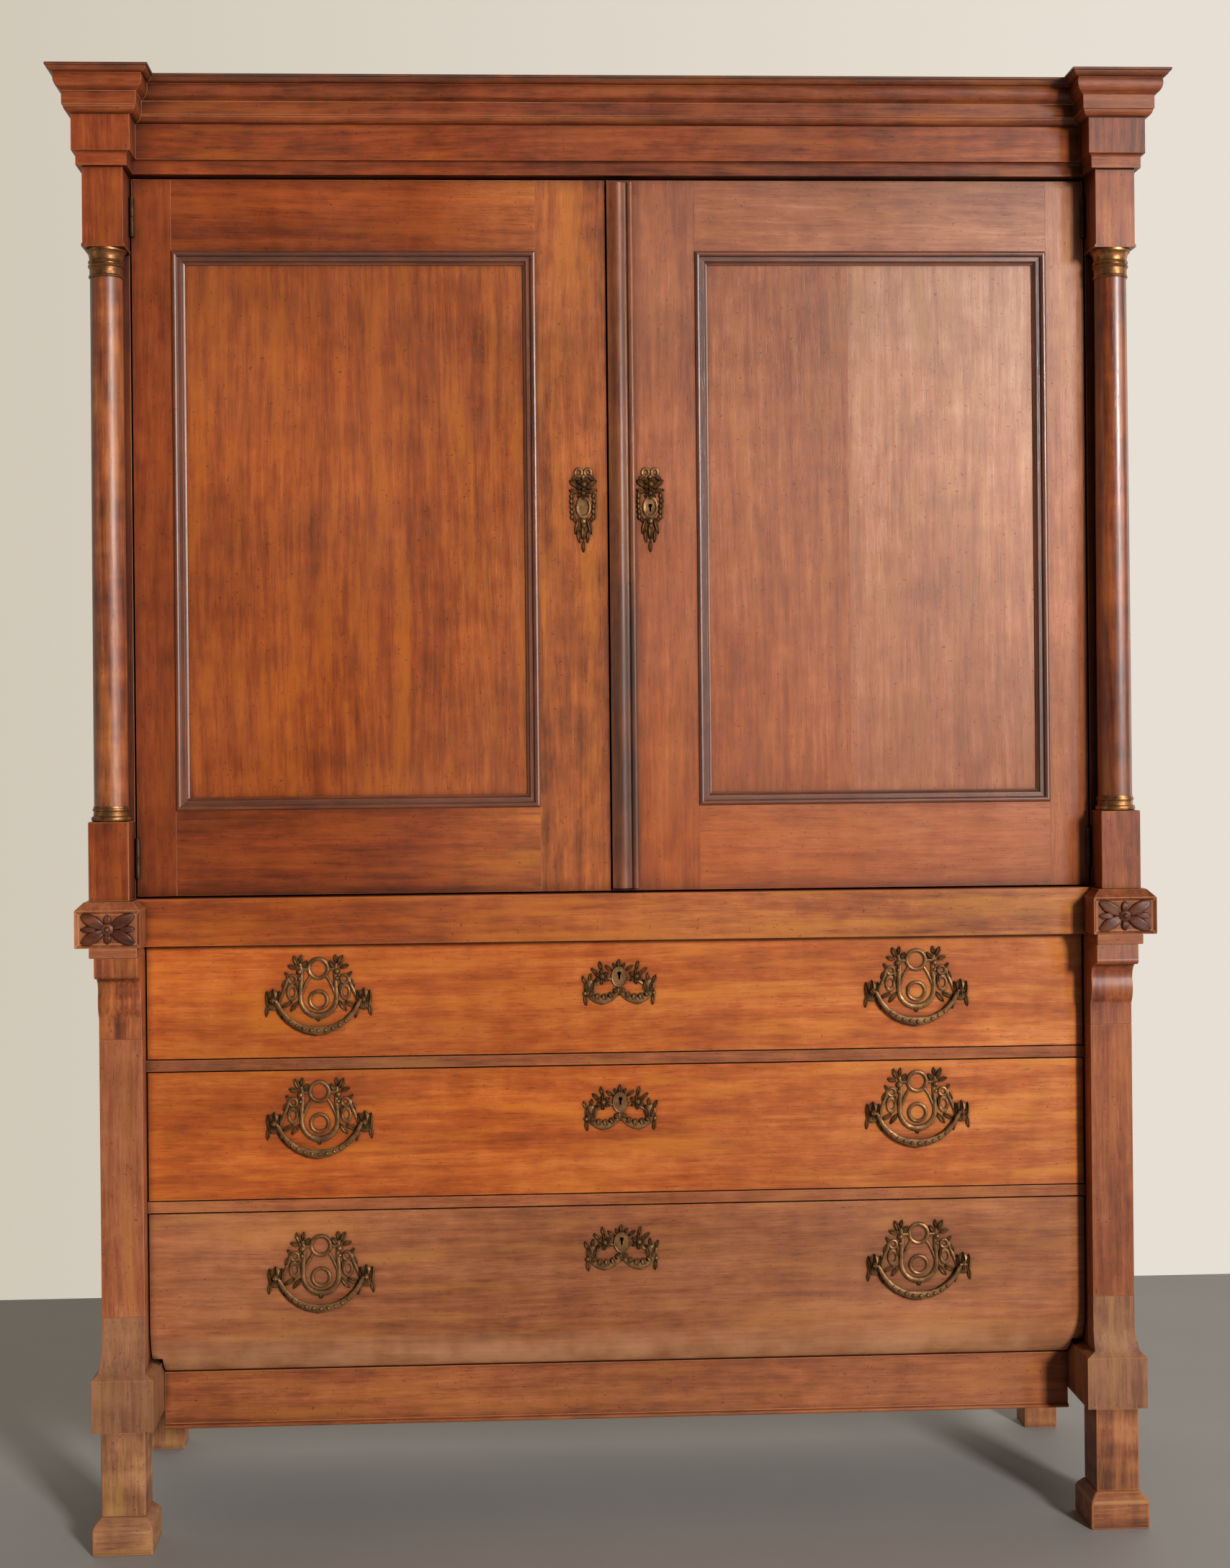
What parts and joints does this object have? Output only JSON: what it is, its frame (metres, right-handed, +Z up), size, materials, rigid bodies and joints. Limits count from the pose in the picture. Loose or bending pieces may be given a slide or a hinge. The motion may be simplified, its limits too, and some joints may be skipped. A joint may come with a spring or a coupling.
{
  "type": "kas cupboard",
  "caption": "Tall linen press with a broken-forward cornice, two panelled doors between columns, and a drawer base on square feet.",
  "frame": {"origin": "on the floor, under the middle of the cupboard's overall box", "axes": "+Z up, front faces -Y, +X to the right of someone facing the front"},
  "size_m": [1.78, 0.607, 2.346],
  "materials": {
    "mahogany_case": "old dark mahogany, waxed, satin",
    "mahogany_door": "straight-grained mahogany veneer, shellac",
    "mahogany_drawer": "orange mahogany veneer, shellac",
    "worn_oak": "worn stained wood, golden where rubbed",
    "secondary_oak": "plain unpolished oak, matt",
    "aged_brass": "pressed brass, greenish-brown with age",
    "iron": "dark oiled iron"
  },
  "bodies": {
    "case": {"cornice_crown": "mahogany_case", "cornice_frieze": "mahogany_case", "upper_sides": "mahogany_case", "upper_posts": "mahogany_case", "column_dies": "mahogany_case", "column_shafts": "mahogany_case", "column_pedestals": "mahogany_case", "lower_posts": "mahogany_case", "lower_sides": "mahogany_case", "waist_mouldings": "mahogany_case", "rosette_blocks": "mahogany_case", "consoles": "mahogany_case", "pilasters": "mahogany_case", "drawer_dividers": "mahogany_case", "apron_rail": "mahogany_case", "foot_blocks": "worn_oak", "front_legs": "worn_oak", "front_feet": "worn_oak", "back_posts": "worn_oak", "cornice_boards": "secondary_oak", "upper_boards": "secondary_oak", "shelves": "secondary_oak", "lower_boards": "secondary_oak", "drawer_runners": "secondary_oak", "column_brasses": "aged_brass", "hinge_pins": "aged_brass"},
    "left_door": {"left_door_frame": "mahogany_door", "left_door_panel": "mahogany_door", "left_door_mouldings": "mahogany_door", "left_door_brasses": "aged_brass"},
    "right_door": {"right_door_frame": "mahogany_door", "right_door_panel": "mahogany_door", "right_door_mouldings": "mahogany_door", "right_door_strip": "mahogany_door", "right_door_brasses": "aged_brass", "right_door_lock": "iron"},
    "left_door_top_bolt": {"left_door_top_bolt": "iron"},
    "left_door_bottom_bolt": {"left_door_bottom_bolt": "iron"},
    "right_door_lock_bolt": {"right_door_lock_bolt": "iron"},
    "drawer_1": {"drawer_1_front": "mahogany_drawer", "drawer_1_box": "secondary_oak", "drawer_1_brasses": "aged_brass", "drawer_1_lock": "iron"},
    "drawer_1_lock_bolt": {"drawer_1_lock_bolt": "iron"},
    "drawer_1_left_bail": {"drawer_1_left_bail": "aged_brass"},
    "drawer_1_right_bail": {"drawer_1_right_bail": "aged_brass"},
    "drawer_2": {"drawer_2_front": "mahogany_drawer", "drawer_2_box": "secondary_oak", "drawer_2_brasses": "aged_brass", "drawer_2_lock": "iron"},
    "drawer_2_lock_bolt": {"drawer_2_lock_bolt": "iron"},
    "drawer_2_left_bail": {"drawer_2_left_bail": "aged_brass"},
    "drawer_2_right_bail": {"drawer_2_right_bail": "aged_brass"},
    "drawer_3": {"drawer_3_front": "mahogany_drawer", "drawer_3_box": "secondary_oak", "drawer_3_brasses": "aged_brass", "drawer_3_lock": "iron"},
    "drawer_3_lock_bolt": {"drawer_3_lock_bolt": "iron"},
    "drawer_3_left_bail": {"drawer_3_left_bail": "aged_brass"},
    "drawer_3_right_bail": {"drawer_3_right_bail": "aged_brass"}
  },
  "joints": [
    {"name": "left_door_hinge", "type": "hinge", "parent": "case", "child": "left_door", "pos_m": [-0.7735, -0.1985, 1.615], "axis": [0, 0, -1], "range_deg": [0, 90]},
    {"name": "right_door_hinge", "type": "hinge", "parent": "case", "child": "right_door", "pos_m": [0.7735, -0.1985, 1.615], "axis": [0, 0, 1], "range_deg": [0, 90]},
    {"name": "left_door_top_bolt_slide", "type": "slide", "parent": "left_door", "child": "left_door_top_bolt", "axis": [0, 0, 1], "range_m": [0, 0.014]},
    {"name": "left_door_bottom_bolt_slide", "type": "slide", "parent": "left_door", "child": "left_door_bottom_bolt", "axis": [0, 0, -1], "range_m": [0, 0.014]},
    {"name": "right_door_lock_bolt_slide", "type": "slide", "parent": "right_door", "child": "right_door_lock_bolt", "axis": [-1, 0, 0], "range_m": [0, 0.012]},
    {"name": "drawer_1_slide", "type": "slide", "parent": "case", "child": "drawer_1", "axis": [0, -1, 0], "range_m": [0, 0.35]},
    {"name": "drawer_1_lock_bolt_slide", "type": "slide", "parent": "drawer_1", "child": "drawer_1_lock_bolt", "axis": [0, 0, 1], "range_m": [0, 0.012]},
    {"name": "drawer_1_left_bail_swing", "type": "hinge", "parent": "drawer_1", "child": "drawer_1_left_bail", "pos_m": [-0.487, -0.2025, 0.867], "axis": [-1, 0, 0], "range_deg": [0, 90]},
    {"name": "drawer_1_right_bail_swing", "type": "hinge", "parent": "drawer_1", "child": "drawer_1_right_bail", "pos_m": [0.487, -0.2025, 0.867], "axis": [-1, 0, 0], "range_deg": [0, 90]},
    {"name": "drawer_2_slide", "type": "slide", "parent": "case", "child": "drawer_2", "axis": [0, -1, 0], "range_m": [0, 0.35]},
    {"name": "drawer_2_lock_bolt_slide", "type": "slide", "parent": "drawer_2", "child": "drawer_2_lock_bolt", "axis": [0, 0, 1], "range_m": [0, 0.012]},
    {"name": "drawer_2_left_bail_swing", "type": "hinge", "parent": "drawer_2", "child": "drawer_2_left_bail", "pos_m": [-0.487, -0.2025, 0.668], "axis": [-1, 0, 0], "range_deg": [0, 90]},
    {"name": "drawer_2_right_bail_swing", "type": "hinge", "parent": "drawer_2", "child": "drawer_2_right_bail", "pos_m": [0.487, -0.2025, 0.668], "axis": [-1, 0, 0], "range_deg": [0, 90]},
    {"name": "drawer_3_slide", "type": "slide", "parent": "case", "child": "drawer_3", "axis": [0, -1, 0], "range_m": [0, 0.35]},
    {"name": "drawer_3_lock_bolt_slide", "type": "slide", "parent": "drawer_3", "child": "drawer_3_lock_bolt", "axis": [0, 0, 1], "range_m": [0, 0.012]},
    {"name": "drawer_3_left_bail_swing", "type": "hinge", "parent": "drawer_3", "child": "drawer_3_left_bail", "pos_m": [-0.487, -0.2025, 0.419], "axis": [-1, 0, 0], "range_deg": [0, 90]},
    {"name": "drawer_3_right_bail_swing", "type": "hinge", "parent": "drawer_3", "child": "drawer_3_right_bail", "pos_m": [0.487, -0.2025, 0.419], "axis": [-1, 0, 0], "range_deg": [0, 90]}
  ]
}
